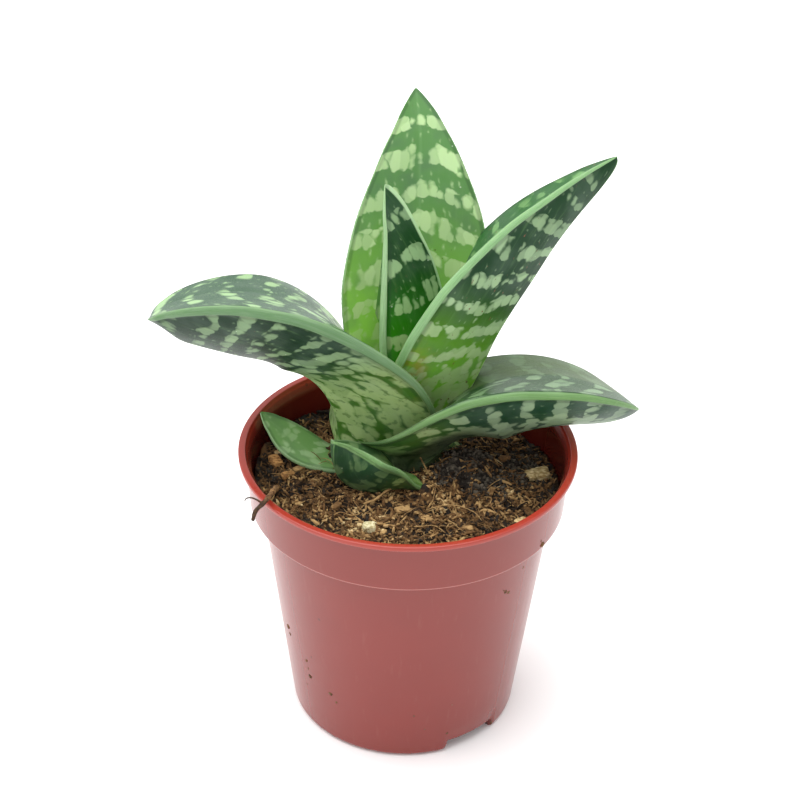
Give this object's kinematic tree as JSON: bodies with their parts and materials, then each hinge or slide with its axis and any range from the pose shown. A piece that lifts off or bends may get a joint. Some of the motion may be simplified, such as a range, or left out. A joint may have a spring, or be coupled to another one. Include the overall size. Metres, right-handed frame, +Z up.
{
  "type": "potted tiger aloe",
  "caption": "Small rosette succulent with thick keeled leaves banded in pale spots, growing in soil in a tapered plastic nursery pot",
  "frame": {"origin": "middle of the bounding box, on the surface that the pot stands on", "axes": "+Z up along the pot's axis; -Y is the side that the picture shows, with +X to its right"},
  "size_m": [0.079, 0.062, 0.0975],
  "materials": {
    "pot": "semi-gloss terracotta-coloured polypropylene",
    "soil": "crumbly peaty potting mix",
    "stem": "dull pale plant stem",
    "leaf": "waxy green skin with bands of pale spots and pale horny margins",
    "bark": "dry broken bark",
    "perlite": "porous cream crumb",
    "twig": "dry dark twig"
  },
  "bodies": {
    "root": {"pot": "pot", "soil": "soil", "stem": "stem", "leaf_back": "leaf", "leaf_centre": "leaf", "leaf_upper_right": "leaf", "leaf_left": "leaf", "leaf_lower_right": "leaf", "leaf_small_left": "leaf", "leaf_small_front": "leaf", "bark_chip_right": "bark", "bark_chip_left_1": "bark", "bark_chip_left_2": "bark", "perlite_crumb": "perlite", "twig": "twig"}
  },
  "joints": []
}
